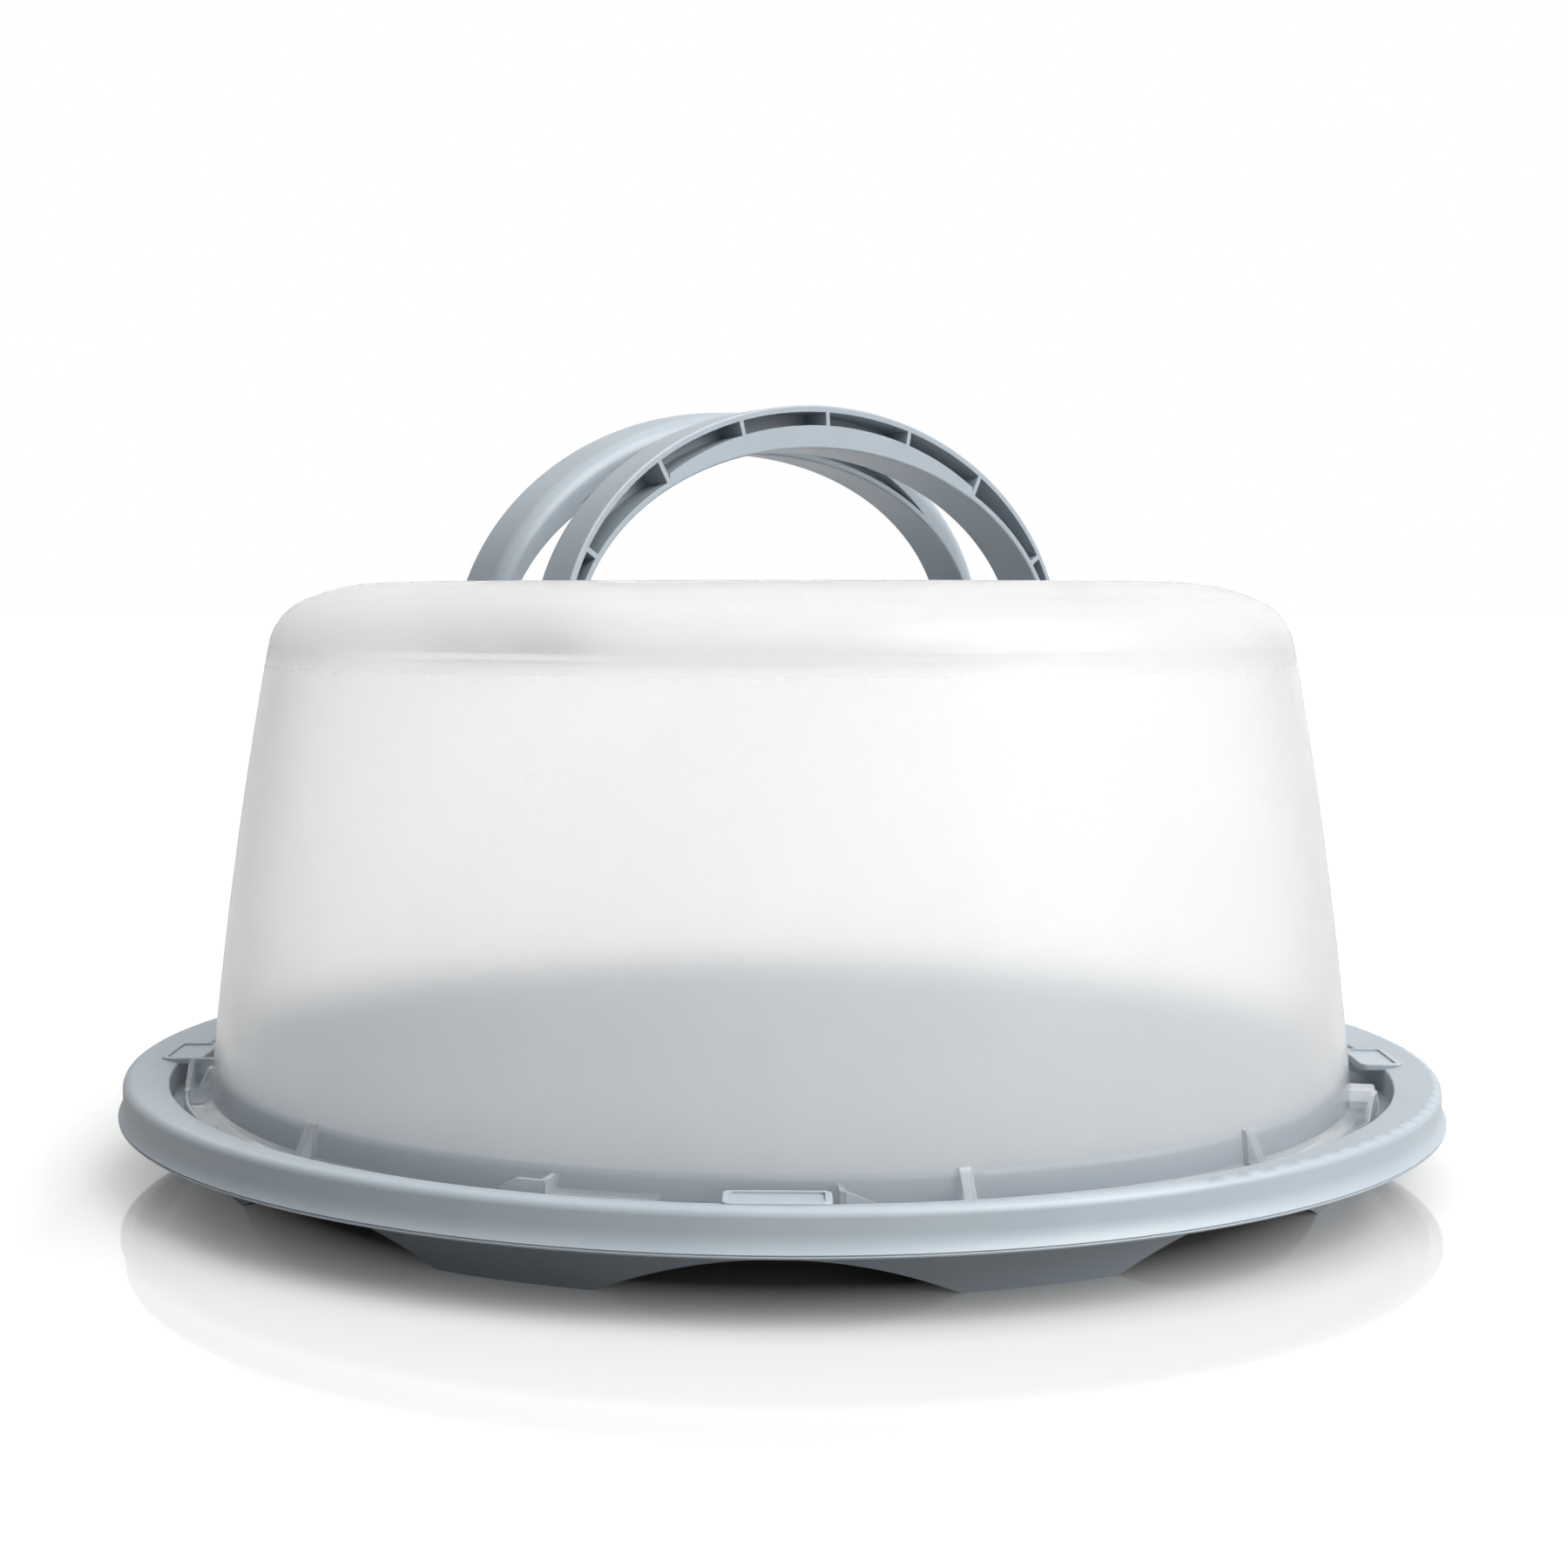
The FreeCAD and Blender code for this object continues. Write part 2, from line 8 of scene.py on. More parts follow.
import bpy
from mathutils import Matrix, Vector


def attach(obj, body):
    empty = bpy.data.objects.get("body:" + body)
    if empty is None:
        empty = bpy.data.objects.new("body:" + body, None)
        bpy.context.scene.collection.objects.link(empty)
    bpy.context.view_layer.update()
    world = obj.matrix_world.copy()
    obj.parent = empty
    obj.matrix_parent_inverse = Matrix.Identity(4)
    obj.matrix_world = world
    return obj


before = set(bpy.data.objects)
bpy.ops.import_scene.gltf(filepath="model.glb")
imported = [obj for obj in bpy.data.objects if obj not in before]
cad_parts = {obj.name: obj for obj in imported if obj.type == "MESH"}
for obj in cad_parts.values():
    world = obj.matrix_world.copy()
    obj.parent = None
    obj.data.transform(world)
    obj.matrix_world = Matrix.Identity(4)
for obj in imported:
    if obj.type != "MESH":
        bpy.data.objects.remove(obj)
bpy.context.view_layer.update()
LOG = logging.getLogger("cake_carrier")

Colour = tuple[float, float, float]
Point = tuple[float, float, float]


class Ray(Enum):
    """Kinds of ray that the floor and the room tell apart."""

    CAMERA = "Is Camera Ray"
    TRANSMISSION = "Is Transmission Ray"
    GLOSSY = "Is Glossy Ray"
    DIFFUSE = "Is Diffuse Ray"


class NodeKit:
    """Adds nodes and links to one node tree."""

    def __init__(self, tree: bpy.types.NodeTree) -> None:
        """Keep the tree to work on.

        Args:
            tree: The shader or geometry tree.
        """
        self.tree = tree

    def add(self, kind: str, **inputs: object) -> bpy.types.Node:
        """Add a node and set its inputs by socket name, or its own settings in lower case.

        Args:
            kind: Type name of the node.
            inputs: Values; a name with a capital is a socket, with underscores for spaces.

        Returns:
            The new node.
        """
        node = self.tree.nodes.new(kind)
        for key, value in inputs.items():
            if key[0].islower():
                setattr(node, key, value)
        for key, value in inputs.items():
            if key[0].isupper():
                self.feed(node.inputs[key.replace("_", " ")], value)
        return node

    def feed(self, socket: bpy.types.NodeSocket, value: object) -> None:
        """Link an output into a socket, or set the socket's own value.

        Args:
            socket: The input socket.
            value: An output socket, a number or a tuple.
        """
        if isinstance(value, bpy.types.NodeSocket):
            self.tree.links.new(value, socket)
        else:
            socket.default_value = value

    def maths(self, operation: str, first: object, second: object = 0.0) -> bpy.types.NodeSocket:
        """Add a Math node.

        Args:
            operation: The node's operation.
            first: First value or output.
            second: Second value or output.

        Returns:
            The node's output.
        """
        node = self.tree.nodes.new("ShaderNodeMath")
        node.operation = operation
        self.feed(node.inputs[0], first)
        self.feed(node.inputs[1], second)
        return node.outputs[0]

    def spread(self, value: object, low: float, high: float, start: float, end: float) -> bpy.types.NodeSocket:
        """Map a value from one range to another, clamped.

        Args:
            value: Output to map.
            low: Where the input range starts.
            high: Where the input range ends.
            start: Result at low.
            end: Result at high.

        Returns:
            The mapped output.
        """
        node = self.add("ShaderNodeMapRange", Value=value, From_Min=low, From_Max=high, To_Min=start, To_Max=end)
        return node.outputs["Result"]

    def between(self, factor: object, first: object, second: object) -> bpy.types.NodeSocket:
        """Go from one value to another.

        Args:
            factor: Share of the second value.
            first: Value or output.
            second: Value or output.

        Returns:
            The value in between.
        """
        return self.maths("ADD", first, self.maths("MULTIPLY", factor, self.maths("SUBTRACT", second, first)))

    def blend(self, factor: object, first: object, second: object) -> bpy.types.NodeSocket:
        """Mix two colours.

        Args:
            factor: Share of the second colour.
            first: Colour or output.
            second: Colour or output.

        Returns:
            The mixed colour.
        """
        node = self.tree.nodes.new("ShaderNodeMix")
        node.data_type = "RGBA"
        colours = [socket for socket in node.inputs if socket.type == "RGBA"]
        self.feed(node.inputs[0], factor)
        self.feed(colours[0], rgba(first))
        self.feed(colours[1], rgba(second))
        return [socket for socket in node.outputs if socket.type == "RGBA"][0]

    def inside(self, value: object, low: object, high: object) -> bpy.types.NodeSocket:
        """Tell whether a value lies between two limits.

        Args:
            value: Output to test.
            low: Lower limit.
            high: Upper limit.

        Returns:
            One inside the limits, else zero.
        """
        return self.maths("MULTIPLY", self.maths("GREATER_THAN", value, low), self.maths("LESS_THAN", value, high))

    def reach(self, axis: bpy.types.NodeOutputs) -> bpy.types.NodeSocket:
        """Distance of a place from the Z axis.

        Args:
            axis: Outputs X and Y of the place.

        Returns:
            The distance.
        """
        squares = [self.maths("POWER", axis[name], 2.0) for name in ("X", "Y")]
        return self.maths("SQRT", self.maths("ADD", *squares))

    def rays(self, *kinds: Ray) -> bpy.types.NodeSocket:
        """Tell whether a ray is of one of some kinds.

        Args:
            kinds: The kinds to look for.

        Returns:
            One for such a ray, else zero.
        """
        path = self.add("ShaderNodeLightPath").outputs
        mask = path[kinds[0].value]
        for kind in kinds[1:]:
            mask = self.maths("MAXIMUM", mask, path[kind.value])
        return mask


def rgba(colour: object) -> object:
    """Give a plain colour its alpha, and leave an output socket as it is."""
    return (*colour, 1.0) if isinstance(colour, tuple) and len(colour) == 3 else colour


def new_material(name: str) -> tuple[bpy.types.Material, NodeKit, bpy.types.Node]:
    """Start a material.

    Args:
        name: Name of the material.

    Returns:
        The material, a kit for its tree and its shader.
    """
    material = bpy.data.materials.new(name)
    material.use_nodes = True
    return material, NodeKit(material.node_tree), material.node_tree.nodes["Principled BSDF"]


@dataclass(frozen=True)
class MouldGrain:
    """Shared effect of a moulded surface: spark-eroded grain, flow streaks and faint rubbing."""

    grain_detail: float = 3.0
    grain_roughness: float = 0.6
    flow_detail: float = 4.0
    flow_roughness: float = 0.55
    flow_swirl: float = 1.2
    flow_range: tuple[float, float] = (0.3, 0.7)
    rub_turn: Point = (0.3, 0.2, 0.5)
    rub_stretch: Point = (1.0, 0.06, 1.0)
    rub_detail: float = 2.0
    rub_roughness: float = 0.5
    rub_range: tuple[float, float] = (0.55, 0.75)

    def group(self) -> bpy.types.NodeTree:
        """Build the effect.

        Returns:
            The shader node group.
        """
        group = bpy.data.node_groups.new("MouldGrain", "ShaderNodeTree")
        for name, kind in (("Vector", "NodeSocketVector"), ("Grain Scale", "NodeSocketFloat"),
                           ("Flow Scale", "NodeSocketFloat"), ("Rub Scale", "NodeSocketFloat")):
            group.interface.new_socket(name, in_out="INPUT", socket_type=kind)
        for name in ("Grain", "Flow", "Rub"):
            group.interface.new_socket(name, in_out="OUTPUT", socket_type="NodeSocketFloat")
        kit = NodeKit(group)
        source = kit.add("NodeGroupInput").outputs
        grain = kit.add("ShaderNodeTexNoise", Vector=source["Vector"], Scale=source["Grain Scale"],
                        Detail=self.grain_detail, Roughness=self.grain_roughness)
        flow = kit.add("ShaderNodeTexNoise", Vector=source["Vector"], Scale=source["Flow Scale"],
                       Detail=self.flow_detail, Roughness=self.flow_roughness, Distortion=self.flow_swirl)
        stretched = kit.add("ShaderNodeMapping", Vector=source["Vector"], Rotation=self.rub_turn,
                            Scale=self.rub_stretch)
        rub = kit.add("ShaderNodeTexNoise", Vector=stretched.outputs["Vector"], Scale=source["Rub Scale"],
                      Detail=self.rub_detail, Roughness=self.rub_roughness)
        sink = kit.add("NodeGroupOutput").inputs
        kit.feed(sink["Grain"], grain.outputs["Fac"])
        kit.feed(sink["Flow"], kit.spread(flow.outputs["Fac"], *self.flow_range, 0.0, 1.0))
        kit.feed(sink["Rub"], kit.spread(rub.outputs["Fac"], *self.rub_range, 0.0, 1.0))
        return group


@dataclass(frozen=True)
class TurnedRim:
    """Section of the tray's rim: the slope of its top, its round edge, its upright band and its hollow flare."""

    edge_centre: tuple[float, float] = (0.1715, 0.0230)
    slope: float = 12.144
    slope_end: tuple[float, float] = (0.171037, 0.025151)
    slope_start: float = 0.1627
    band_inside: float = 0.1728
    flare_centre: tuple[float, float] = (0.180504, 0.0199)
    flare_foot: float = 0.0159
    skin: float = 0.00012

    def normal(self, kit: NodeKit, place: bpy.types.NodeSocket) -> bpy.types.NodeSocket:
        """Work out the smooth normal of the rim, and keep the mesh's own elsewhere.

        Args:
            kit: The material's tree.
            place: Object coordinates.

        Returns:
            The normal in world space.
        """
        axis = kit.add("ShaderNodeSeparateXYZ", Vector=place).outputs
        reach = kit.reach(axis)
        lean = math.radians(self.slope)
        on_slope = kit.maths("LESS_THAN", reach, self.slope_end[0])
        on_flare = kit.maths("LESS_THAN", axis["Z"], self.flare_centre[1])
        out = kit.between(on_flare, kit.maths("SUBTRACT", reach, self.edge_centre[0]),
                          kit.maths("SUBTRACT", self.flare_centre[0], reach))
        above = kit.maths("MAXIMUM", kit.maths("SUBTRACT", axis["Z"], self.edge_centre[1]), 0.0)
        rise = kit.between(on_flare, above, kit.maths("SUBTRACT", self.flare_centre[1], axis["Z"]))
        out = kit.between(on_slope, out, -math.sin(lean))
        rise = kit.between(on_slope, rise, math.cos(lean))
        share = kit.maths("DIVIDE", out, reach)
        vector = kit.add("ShaderNodeCombineXYZ", X=kit.maths("MULTIPLY", share, axis["X"]),
                         Y=kit.maths("MULTIPLY", share, axis["Y"]), Z=rise)
        unit = kit.add("ShaderNodeVectorMath", operation="NORMALIZE")
        kit.feed(unit.inputs[0], vector.outputs["Vector"])
        turned = kit.add("ShaderNodeVectorTransform", vector_type="NORMAL", convert_from="OBJECT",
                         convert_to="WORLD", Vector=unit.outputs["Vector"])
        own = kit.add("ShaderNodeNewGeometry").outputs["Normal"]
        return kit.blend(self.mask(kit, axis, reach), own, turned.outputs["Vector"])

    def mask(self, kit: NodeKit, axis: bpy.types.NodeOutputs, reach: bpy.types.NodeSocket) -> bpy.types.NodeSocket:
        """Find the outer skin of the rim.

        Args:
            kit: The material's tree.
            axis: Object coordinates, split.
            reach: Distance from the Z axis.

        Returns:
            One on the rim's slope, edge, band and flare, else zero.
        """
        fall = kit.maths("MULTIPLY", kit.maths("SUBTRACT", self.slope_end[0], reach),
                         math.tan(math.radians(self.slope)))
        off_slope = kit.maths("SUBTRACT", kit.maths("ADD", axis["Z"], fall), self.slope_end[1])
        off_slope = kit.maths("ABSOLUTE", off_slope)
        slope = kit.maths("MULTIPLY", kit.maths("LESS_THAN", off_slope, self.skin),
                          kit.inside(reach, self.slope_start, self.slope_end[0]))
        edge = kit.maths("MULTIPLY", kit.maths("GREATER_THAN", reach, self.slope_end[0] - self.skin),
                         kit.maths("GREATER_THAN", axis["Z"], self.edge_centre[1]))
        band = kit.maths("MULTIPLY", kit.maths("GREATER_THAN", reach, self.band_inside),
                         kit.inside(axis["Z"], self.flare_foot, self.edge_centre[1]))
        return kit.maths("MAXIMUM", slope, kit.maths("MAXIMUM", edge, band))


@dataclass(frozen=True)
class MouldedPlastic:
    """Opaque satin plastic with a fine moulded grain."""

    name: str
    light: Colour
    deep: Colour
    roughness: float
    rubbed_roughness: float
    grain_depth: float = 0.00006
    grain_strength: float = 0.35
    grain_scale: float = 2600.0
    flow_scale: float = 22.0
    rub_scale: float = 900.0
    gloss: float = 0.65
    rim: TurnedRim | None = None

    def material(self, grain: bpy.types.NodeTree) -> bpy.types.Material:
        """Make the material.

        Args:
            grain: The shared mould grain group.

        Returns:
            The finished material.
        """
        material, kit, shader = new_material(self.name)
        place = kit.add("ShaderNodeTexCoord").outputs["Object"]
        effect = kit.add("ShaderNodeGroup", node_tree=grain, Vector=place, Grain_Scale=self.grain_scale,
                         Flow_Scale=self.flow_scale, Rub_Scale=self.rub_scale).outputs
        kit.feed(shader.inputs["Base Color"], kit.blend(effect["Flow"], self.deep, self.light))
        kit.feed(shader.inputs["Roughness"],
                 kit.spread(effect["Rub"], 0.0, 1.0, self.roughness, self.rubbed_roughness))
        shader.inputs["Specular IOR Level"].default_value = self.gloss
        bump = kit.add("ShaderNodeBump", Strength=self.grain_strength, Distance=self.grain_depth,
                       Height=effect["Grain"])
        if self.rim is not None:
            kit.feed(bump.inputs["Normal"], self.rim.normal(kit, place))
        kit.feed(shader.inputs["Normal"], bump.outputs["Normal"])
        return material


@dataclass(frozen=True)
class FrostedPlastic:
    """Milky plastic: a see-through wall below the crease, a matt crown above it, and painted shade at the foot and
    flange: darker, bluish tints that stand in for the shaded blue tray seen through them.
    """

    name: str
    wall: Colour
    crown: Colour
    # Painted shade: the foot and flange colours are darker and bluish, standing in for the shaded blue tray seen
    # through the wall.
    foot_painted_shade: Colour
    flange_painted_shade: Colour
    wall_roughness: float
    crown_roughness: float
    transmission: float
    crease_height: float
    density: float = 1.3
    sheen: float = 0.25
    sheen_roughness: float = 0.16
    crease_blend: float = 0.007
    # Where the painted foot and flange shade lie.
    foot_heights: tuple[float, float] = (0.0215, 0.0305)
    flange_inside: float = 0.1522
    flange_height: float = 0.0280
    flow_dimming: float = 0.985
    rub_lift: float = 0.02
    grain_depth: float = 0.00005
    grain_strength: float = 0.2
    grain_scale: float = 1800.0
    flow_scale: float = 9.0
    rub_scale: float = 500.0

    def material(self, grain: bpy.types.NodeTree) -> bpy.types.Material:
        """Make the material.

        Args:
            grain: The shared mould grain group.

        Returns:
            The finished material.
        """
        material, kit, shader = new_material(self.name)
        place = kit.add("ShaderNodeTexCoord").outputs["Object"]
        effect = kit.add("ShaderNodeGroup", node_tree=grain, Vector=place, Grain_Scale=self.grain_scale,
                         Flow_Scale=self.flow_scale, Rub_Scale=self.rub_scale).outputs
        axis = kit.add("ShaderNodeSeparateXYZ", Vector=place).outputs
        crown = kit.spread(axis["Z"], self.crease_height - self.crease_blend,
                           self.crease_height + self.crease_blend, 0.0, 1.0)
        wall_tone = kit.blend(effect["Flow"], tuple(part * self.flow_dimming for part in self.wall), self.wall)
        # Painted shade: darker and bluish towards the foot and on the flange, where the shaded tray shows through.
        wall_tone = kit.blend(kit.spread(axis["Z"], *self.foot_heights, 1.0, 0.0), wall_tone, self.foot_painted_shade)
        painted_flange_mask = kit.maths("MULTIPLY", kit.maths("GREATER_THAN", kit.reach(axis), self.flange_inside),
                              kit.maths("LESS_THAN", axis["Z"], self.flange_height))
        wall_tone = kit.blend(painted_flange_mask, wall_tone, self.flange_painted_shade)
        kit.feed(shader.inputs["Base Color"], kit.blend(crown, wall_tone, self.crown))
        rough = kit.spread(crown, 0.0, 1.0, self.wall_roughness, self.crown_roughness)
        rubbed = kit.maths("ADD", rough, kit.maths("MULTIPLY", effect["Rub"], self.rub_lift))
        kit.feed(shader.inputs["Roughness"], rubbed)
        shader.inputs["Transmission Weight"].default_value = self.transmission
        shader.inputs["IOR"].default_value = self.density
        shader.inputs["Coat Weight"].default_value = self.sheen
        shader.inputs["Coat Roughness"].default_value = self.sheen_roughness
        bump = kit.add("ShaderNodeBump", Strength=self.grain_strength, Distance=self.grain_depth,
                       Height=effect["Grain"])
        kit.feed(shader.inputs["Normal"], bump.outputs["Normal"])
        return material


def bead_ring_tree() -> bpy.types.NodeTree:
    """Build the Geometry Nodes tree that sweeps a round bead along a path and copies it about Z.

    Returns:
        The geometry node group, with the inputs Path, Bead Radius, Sides, Count and Finish.
    """
    tree = bpy.data.node_groups.new("BeadRing", "GeometryNodeTree")
    for name, kind in (("Path", "NodeSocketGeometry"), ("Bead Radius", "NodeSocketFloat"),
                       ("Sides", "NodeSocketInt"), ("Count", "NodeSocketInt"), ("Finish", "NodeSocketMaterial")):
        tree.interface.new_socket(name, in_out="INPUT", socket_type=kind)
    tree.interface.new_socket("Geometry", in_out="OUTPUT", socket_type="NodeSocketGeometry")
    kit = NodeKit(tree)
    source = kit.add("NodeGroupInput").outputs
    path = kit.add("GeometryNodeMeshToCurve", Mesh=source["Path"])
    profile = kit.add("GeometryNodeCurvePrimitiveCircle", Resolution=source["Sides"], Radius=source["Bead Radius"])
    bead = kit.add("GeometryNodeCurveToMesh", Curve=path.outputs["Curve"],
                   Profile_Curve=profile.outputs["Curve"], Fill_Caps=True)
    smooth = kit.add("GeometryNodeSetShadeSmooth", Geometry=bead.outputs["Mesh"])
    points = kit.add("GeometryNodeMeshLine", Count=source["Count"], Offset=(0.0, 0.0, 0.0))
    step = kit.maths("DIVIDE", 2.0 * math.pi, source["Count"])
    turn = kit.maths("MULTIPLY", kit.add("GeometryNodeInputIndex").outputs["Index"], step)
    euler = kit.add("ShaderNodeCombineXYZ", Z=turn)
    rotation = kit.add("FunctionNodeEulerToRotation", Euler=euler.outputs["Vector"])
    copies = kit.add("GeometryNodeInstanceOnPoints", Points=points.outputs["Mesh"],
                     Instance=smooth.outputs["Geometry"], Rotation=rotation.outputs["Rotation"])
    real = kit.add("GeometryNodeRealizeInstances", Geometry=copies.outputs["Instances"])
    finished = kit.add("GeometryNodeSetMaterial", Geometry=real.outputs["Geometry"], Material=source["Finish"])
    kit.feed(kit.add("NodeGroupOutput").inputs["Geometry"], finished.outputs["Geometry"])
    return tree


def round_path(centre: Point, radius: float, steps: int) -> list[Point]:
    """Points of a level circle.

    Args:
        centre: Middle of the circle.
        radius: Its radius.
        steps: Number of points.

    Returns:
        The points in order.
    """
    turns = [2.0 * math.pi * step / steps for step in range(steps)]
    return [(centre[0] + radius * math.cos(turn), centre[1] + radius * math.sin(turn), centre[2]) for turn in turns]


@dataclass
class MouldedBead:
    """Thin raised line on a moulding, swept along a closed path and copied about the Z axis."""

    name: str
    path: list[Point]
    radius: float
    count: int
    body: str
    slot: str
    sides: int = 10

    def build(self, tree: bpy.types.NodeTree, material: bpy.types.Material) -> None:
        """Make the bead as a plain mesh that rides on its body.

        Args:
            tree: The bead ring tree.
            material: Finish of the bead.
        """
        spine = bpy.data.meshes.new(self.name + "_path")
        spine.from_pydata(self.path, [(spot, (spot + 1) % len(self.path)) for spot in range(len(self.path))], [])
        piece = bpy.data.objects.new(self.name, spine)
        bpy.context.scene.collection.objects.link(piece)
        modifier = piece.modifiers.new("bead", "NODES")
        modifier.node_group = tree
        sockets = {item.name: item.identifier for item in tree.interface.items_tree if item.in_out == "INPUT"}
        for label, value in (("Bead Radius", self.radius), ("Sides", self.sides), ("Count", self.count),
                             ("Finish", material)):
            modifier[sockets[label]] = value
        evaluated = piece.evaluated_get(bpy.context.evaluated_depsgraph_get())
        solid = bpy.data.meshes.new_from_object(evaluated)
        piece.modifiers.remove(modifier)
        piece.data = solid
        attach(piece, self.body)
        LOG.info("%s: %d faces on %s", self.name, len(solid.polygons), self.body)


@dataclass
class FootedTray:
    """The tray with its rim, hooks and feet, and the thin lines of its moulding."""

    node: str = "base_tray"
    body: str = "tray"
    slot: str = "blue_grey_plastic"
    finish: MouldedPlastic = MouldedPlastic("tray_plastic", light=(0.335, 0.380, 0.418), deep=(0.308, 0.354, 0.393),
                                            roughness=0.42, rubbed_roughness=0.50, rim=TurnedRim())
    skirt_line: tuple[float, float] = (0.17472, 0.01535)
    skirt_bead: float = 0.00024
    skirt_steps: int = 360
    mark_rings: tuple[tuple[float, int], ...] = ((0.052, 6), (0.112, 12))
    under_plate: float = 0.02347
    mark_radius: float = 0.005
    mark_bead: float = 0.00018
    mark_steps: int = 40

    def build(self, tree: bpy.types.NodeTree, material: bpy.types.Material) -> None:
        """Add the skirt's edge line and the ejector marks.

        Args:
            tree: The bead ring tree.
            material: The tray's finish.
        """
        radius, height = self.skirt_line
        path = round_path((0.0, 0.0, height), radius, self.skirt_steps)
        beads = [MouldedBead("skirt_edge_line", path, self.skirt_bead, 1, self.body, self.slot)]
        for ring, (distance, count) in enumerate(self.mark_rings):
            path = round_path((0.0, -distance, self.under_plate), self.mark_radius, self.mark_steps)
            beads.append(MouldedBead(f"ejector_marks_{ring}", path, self.mark_bead, count, self.body, self.slot))
        for bead in beads:
            bead.build(tree, material)

    def dress(self, grain: bpy.types.NodeTree, tree: bpy.types.NodeTree) -> None:
        """Give the tray its finish and its moulded lines.

        Args:
            grain: The shared mould grain group.
            tree: The bead ring tree.
        """
        material = self.finish.material(grain)
        dress_node(self.node, material)
        self.build(tree, material)


@dataclass
class FrostedDome:
    """The dome with its wall, crown and well."""

    node: str = "dome_cover"
    # The foot and flange tints here are painted shade, standing in for the shaded tray seen through the dome.
    finish: FrostedPlastic = FrostedPlastic("dome_plastic", wall=(1.0, 0.998, 0.995), crown=(0.985, 0.985, 0.985),
                                            foot_painted_shade=(0.90, 0.935, 0.96), flange_painted_shade=(0.88, 0.915, 0.945),
                                            wall_roughness=0.22, crown_roughness=0.60, transmission=0.87,
                                            crease_height=0.1363)

    def dress(self, grain: bpy.types.NodeTree) -> None:
        """Give the dome its finish.

        Args:
            grain: The shared mould grain group.
        """
        dress_node(self.node, self.finish.material(grain))


@dataclass
class HandlePair:
    """Both arch handles and their hinge pins."""

    handles: tuple[str, ...] = ("front_handle", "rear_handle")
    pins: tuple[str, ...] = ("front_handle_right_pin", "front_handle_left_pin",
                             "rear_handle_right_pin", "rear_handle_left_pin")
    handle_finish: MouldedPlastic = MouldedPlastic("handle_plastic", light=(0.300, 0.343, 0.380),
                                                   deep=(0.276, 0.318, 0.355), roughness=0.38,
                                                   rubbed_roughness=0.46)
    pin_finish: MouldedPlastic = MouldedPlastic("pin_plastic", light=(0.34, 0.39, 0.44), deep=(0.31, 0.36, 0.41),
                                                roughness=0.36, rubbed_roughness=0.45)

    def dress(self, grain: bpy.types.NodeTree) -> None:
        """Give handles and pins their finishes.

        Args:
            grain: The shared mould grain group.
        """
        handle_material = self.handle_finish.material(grain)
        pin_material = self.pin_finish.material(grain)
        for node in self.handles:
            dress_node(node, handle_material)
        for node in self.pins:
            dress_node(node, pin_material)


def dress_node(node: str, material: bpy.types.Material) -> None:
    """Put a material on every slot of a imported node.

    Args:
        node: Name of the node.
        material: The material to show.
    """
    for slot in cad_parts[node].material_slots:
        slot.material = material
    LOG.info("dressed %s with %s", node, material.name)


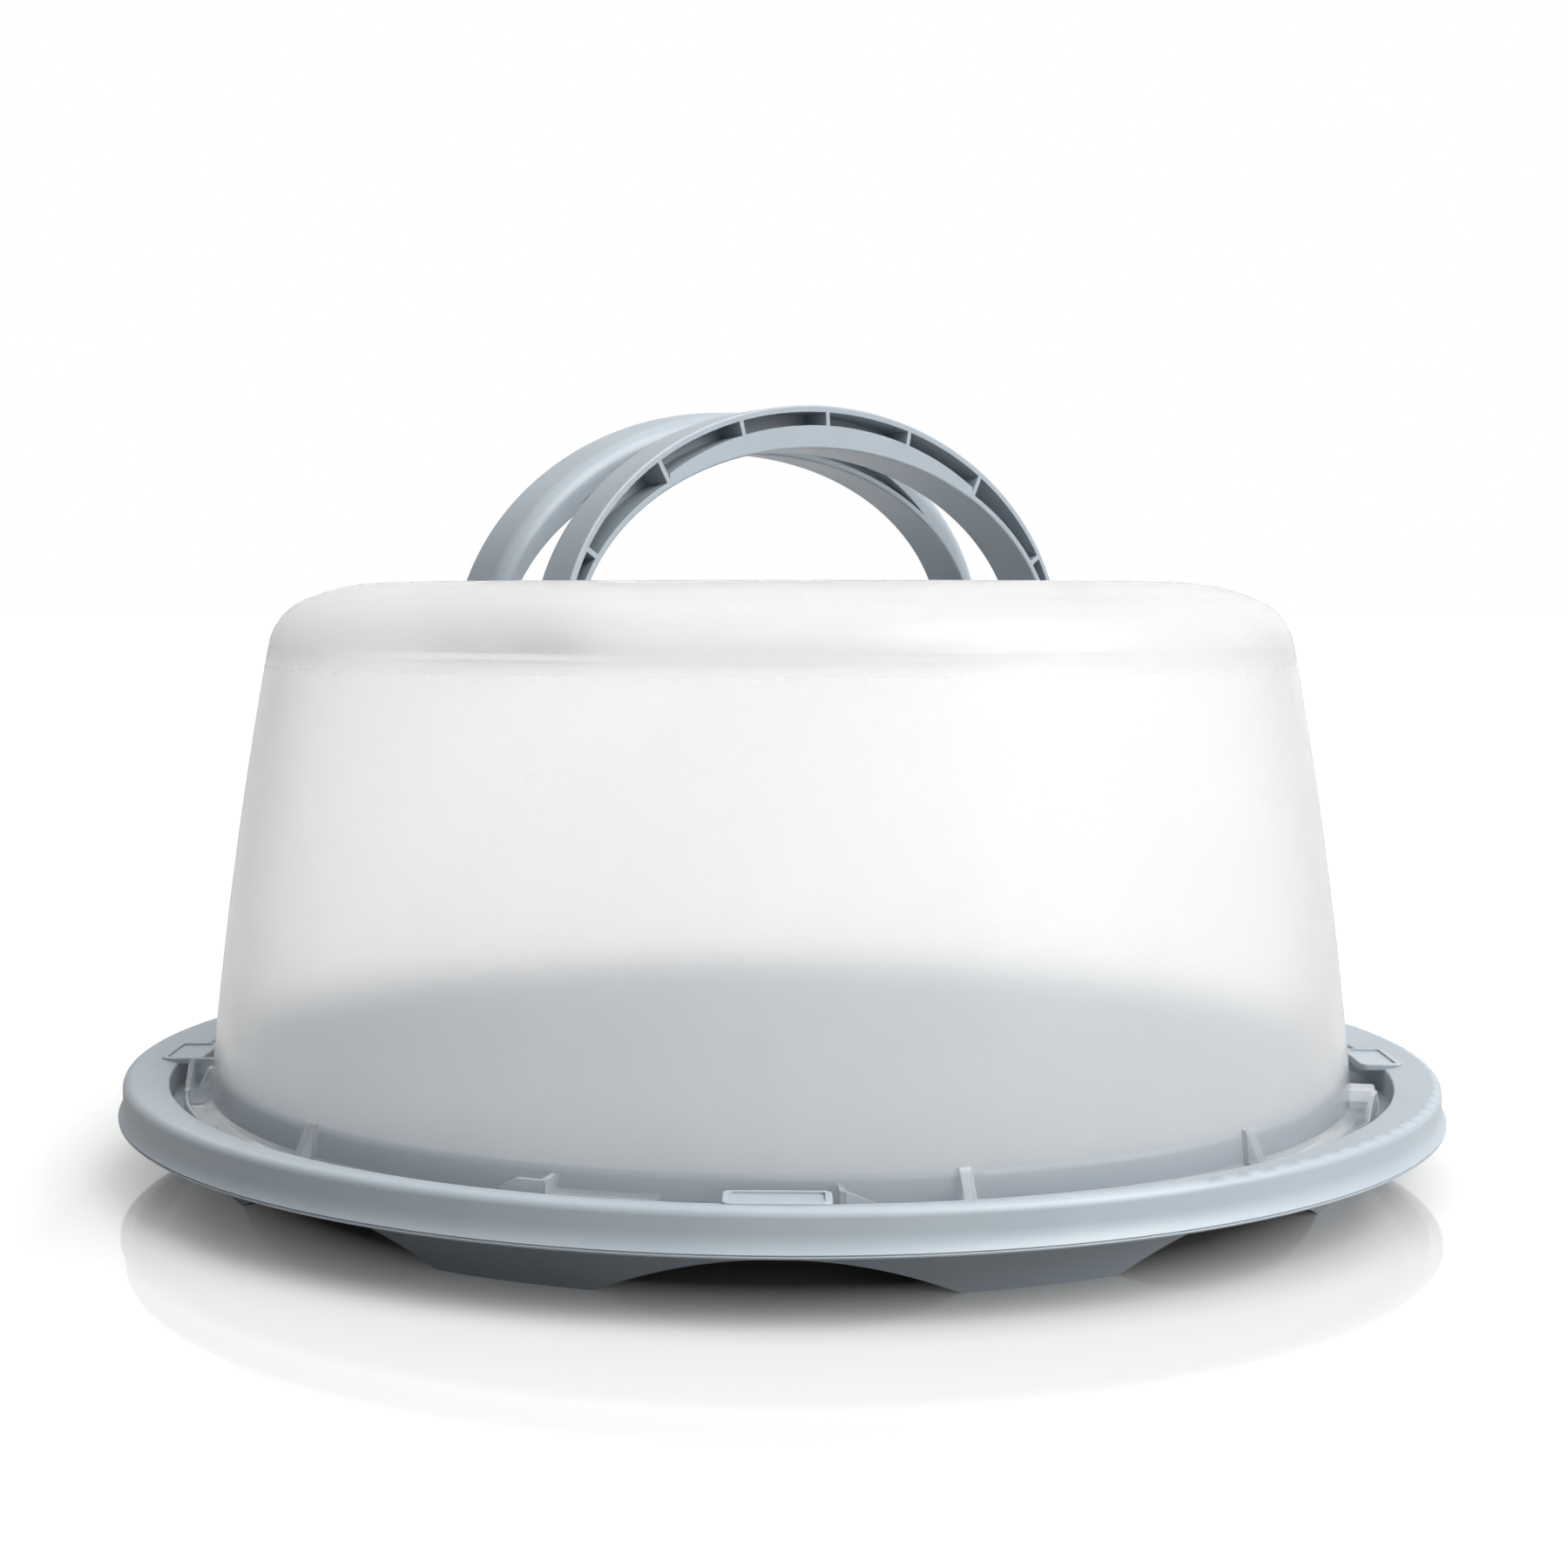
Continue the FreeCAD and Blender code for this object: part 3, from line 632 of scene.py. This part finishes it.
@dataclass
class Studio:
    """White studio: glossy pale floor, soft key from the right, camera at the photo's place."""

    floor_size: float = 40.0
    floor_colour: Colour = (0.50, 0.50, 0.50)
    floor_bounce: Colour = (0.32, 0.32, 0.32)
    # Painted light: the floor glows for seen rays outside the tray and more at the left, lightening the tray's
    # shadow there.
    painted_floor_light: float = 0.24
    painted_light_from: tuple[float, float] = (0.140, 0.185)
    painted_left_light: float = 0.14
    painted_left_from: tuple[float, float] = (-0.200, -0.172)
    floor_roughness: float = 0.05
    room_colour: Colour = (1.0, 1.0, 1.0)
    front_left: float = 0.12
    front_right: float = 0.95
    back_level: float = 1.0
    back_fill: float = 0.38
    back_range: tuple[float, float] = (0.0, 0.6)
    top_level: float = 2.0
    top_range: tuple[float, float] = (0.55, 0.95)
    left_share: float = 0.65
    left_range: tuple[float, float] = (-0.8, 0.3)
    key_strength: float = 3.1
    key_angle: float = 50.0
    key_from: Point = (0.75, -0.40, 0.75)
    softbox_place: Point = (1.37, -1.00, 0.35)
    softbox_aim: Point = (0.059, -0.128, 0.110)
    softbox_size: tuple[float, float] = (0.9, 0.45)
    softbox_power: float = 0.7
    camera_place: Point = (0.0, -0.66173, 0.14820)
    camera_pitch: float = 85.674
    camera_turn: float = 1.62
    camera_lens: float = 56.32
    camera_sensor: float = 36.0
    camera_shift: float = 0.04795

    def build(self) -> None:
        """Set up floor, light and camera."""
        self.floor()
        self.world()
        self.key()
        self.softbox()
        self.camera()
        bpy.context.scene.view_settings.view_transform = "Standard"

    def floor(self) -> None:
        """Lay the floor, whose painted light lifts the tray's shadow beyond its foot and more at the left."""
        half = self.floor_size / 2.0
        mesh = bpy.data.meshes.new("studio_floor")
        mesh.from_pydata([(-half, -half, 0.0), (half, -half, 0.0), (half, half, 0.0), (-half, half, 0.0)],
                         [], [(0, 1, 2, 3)])
        floor = bpy.data.objects.new("studio_floor", mesh)
        bpy.context.scene.collection.objects.link(floor)
        material, kit, shader = new_material("floor_gloss_white")
        shown = kit.rays(Ray.CAMERA, Ray.GLOSSY, Ray.TRANSMISSION)
        kit.feed(shader.inputs["Base Color"], kit.blend(shown, self.floor_bounce, self.floor_colour))
        shader.inputs["Roughness"].default_value = self.floor_roughness
        axis = kit.add("ShaderNodeSeparateXYZ", Vector=kit.add("ShaderNodeTexCoord").outputs["Object"]).outputs
        # Painted light: the floor glows from 0.14 m out and more at the left, so the shadow fades there while the
        # contact shadow under the tray stays.
        seen = kit.rays(Ray.CAMERA, Ray.TRANSMISSION)
        painted_light = kit.spread(kit.reach(axis), *self.painted_light_from, 0.0, self.painted_floor_light)
        painted_light = kit.maths("ADD", painted_light, kit.spread(axis["X"], *self.painted_left_from, self.painted_left_light, 0.0))
        shader.inputs["Emission Color"].default_value = rgba(self.room_colour)
        kit.feed(shader.inputs["Emission Strength"], kit.maths("MULTIPLY", seen, painted_light))
        mesh.materials.append(material)

    def world(self) -> None:
        """Fill the room: a bright top and right, a dimmer left, a wall behind, and white where it is seen."""
        world = bpy.data.worlds.new("studio_room")
        bpy.context.scene.world = world
        world.use_nodes = True
        kit = NodeKit(world.node_tree)
        background = world.node_tree.nodes["Background"]
        background.inputs["Color"].default_value = rgba(self.room_colour)
        direction = kit.add("ShaderNodeTexCoord").outputs["Generated"]
        axis = kit.add("ShaderNodeSeparateXYZ", Vector=direction).outputs
        front = kit.spread(axis["X"], -1.0, 1.0, self.front_left, self.front_right)
        back = kit.between(kit.rays(Ray.DIFFUSE), self.back_level, self.back_fill)
        walls = kit.between(kit.spread(axis["Y"], *self.back_range, 0.0, 1.0), front, back)
        room = kit.between(kit.spread(axis["Z"], *self.top_range, 0.0, 1.0), walls, self.top_level)
        room = kit.maths("MULTIPLY", room, kit.spread(axis["X"], *self.left_range, self.left_share, 1.0))
        seen = kit.rays(Ray.CAMERA, Ray.TRANSMISSION)
        kit.feed(background.inputs["Strength"], kit.between(seen, room, 1.0))

    def key(self) -> None:
        """Hang the soft key light."""
        lamp = bpy.data.lights.new("key_light", "SUN")
        lamp.energy = self.key_strength
        lamp.angle = math.radians(self.key_angle)
        key = bpy.data.objects.new("key_light", lamp)
        key.rotation_euler = Vector(self.key_from).to_track_quat("Z", "Y").to_euler()
        bpy.context.scene.collection.objects.link(key)

    def softbox(self) -> None:
        """Stand a dim softbox at the right, whose soft reflection lies on the dome's wall."""
        lamp = bpy.data.lights.new("softbox", "AREA")
        lamp.shape = "RECTANGLE"
        lamp.size, lamp.size_y = self.softbox_size
        lamp.energy = self.softbox_power
        softbox = bpy.data.objects.new("softbox", lamp)
        softbox.location = self.softbox_place
        back = Vector(self.softbox_place) - Vector(self.softbox_aim)
        softbox.rotation_euler = back.to_track_quat("Z", "Y").to_euler()
        bpy.context.scene.collection.objects.link(softbox)

    def camera(self) -> None:
        """Stand the camera where the photo was taken from."""
        lens = bpy.data.cameras.new("photo_camera")
        lens.lens = self.camera_lens
        lens.sensor_width = self.camera_sensor
        lens.shift_x = self.camera_shift
        camera = bpy.data.objects.new("photo_camera", lens)
        camera.location = self.camera_place
        camera.rotation_euler = (math.radians(self.camera_pitch), 0.0, math.radians(self.camera_turn))
        bpy.context.scene.collection.objects.link(camera)
        bpy.context.scene.camera = camera


def main() -> None:
    """Build the studio and dress every piece."""
    logging.basicConfig(level=logging.INFO, format="%(name)s: %(message)s")
    grain = MouldGrain().group()
    Studio().build()
    FootedTray().dress(grain, bead_ring_tree())
    FrostedDome().dress(grain)
    HandlePair().dress(grain)


if __name__ == "__main__":
    main()
